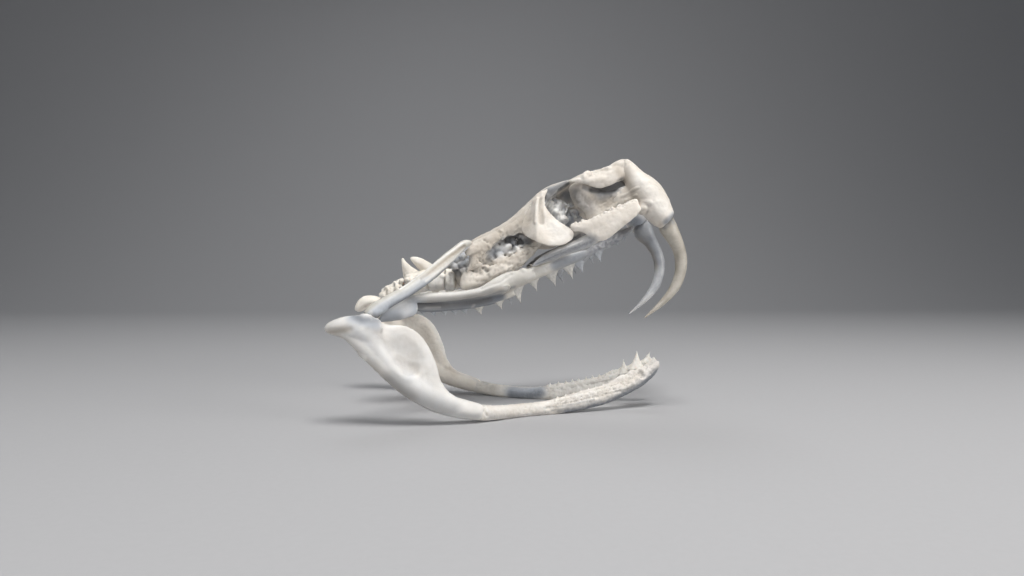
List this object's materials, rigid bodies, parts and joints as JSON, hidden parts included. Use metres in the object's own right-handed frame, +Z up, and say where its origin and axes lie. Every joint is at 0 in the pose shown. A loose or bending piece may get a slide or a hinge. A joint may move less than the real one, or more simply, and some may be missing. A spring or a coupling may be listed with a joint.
{
  "type": "snake skull",
  "caption": "Gaboon viper skull resting on its lower jaws, mouth open, with long curved fangs, toothed palate and jaw bones, slanting quadrates and the first neck bones.",
  "frame": {"origin": "middle of the bounding box at the surface the lower jaws rest on", "axes": "+X towards the snout, +Z up, the animal's right side towards -Y"},
  "size_m": [0.126, 0.0784, 0.0912],
  "materials": {
    "ivory_bone": "dry bone, matt to satin, warm ivory",
    "pale_bone": "dry bone, satin, nearly white",
    "cool_bone": "dry bone, satin, bluish grey",
    "shaded_bone": "dry bone, matt, grey",
    "fang": "tooth, satin, warm beige with fine rings"
  },
  "bodies": {
    "root": {"cranium": "ivory_bone", "snout": "ivory_bone", "prefrontal_right": "ivory_bone", "prefrontal_left": "ivory_bone", "postorbital_right": "ivory_bone", "postorbital_left": "ivory_bone", "supratemporal_right": "ivory_bone", "supratemporal_left": "ivory_bone", "quadrate_right": "cool_bone", "quadrate_left": "cool_bone", "pterygoid_right": "pale_bone", "pterygoid_left": "pale_bone", "palatine_right": "shaded_bone", "palatine_left": "shaded_bone", "ectopterygoid_right": "ivory_bone", "ectopterygoid_left": "ivory_bone", "maxilla_right": "ivory_bone", "maxilla_left": "ivory_bone", "fang_right": "fang", "fang_left": "fang", "compound_bone_right": "pale_bone", "compound_bone_left": "pale_bone", "dentary_right": "ivory_bone", "dentary_left": "ivory_bone", "atlas": "ivory_bone", "axis_vertebra": "ivory_bone", "neck_vertebra_3": "ivory_bone", "neck_vertebra_4": "ivory_bone"}
  },
  "joints": []
}
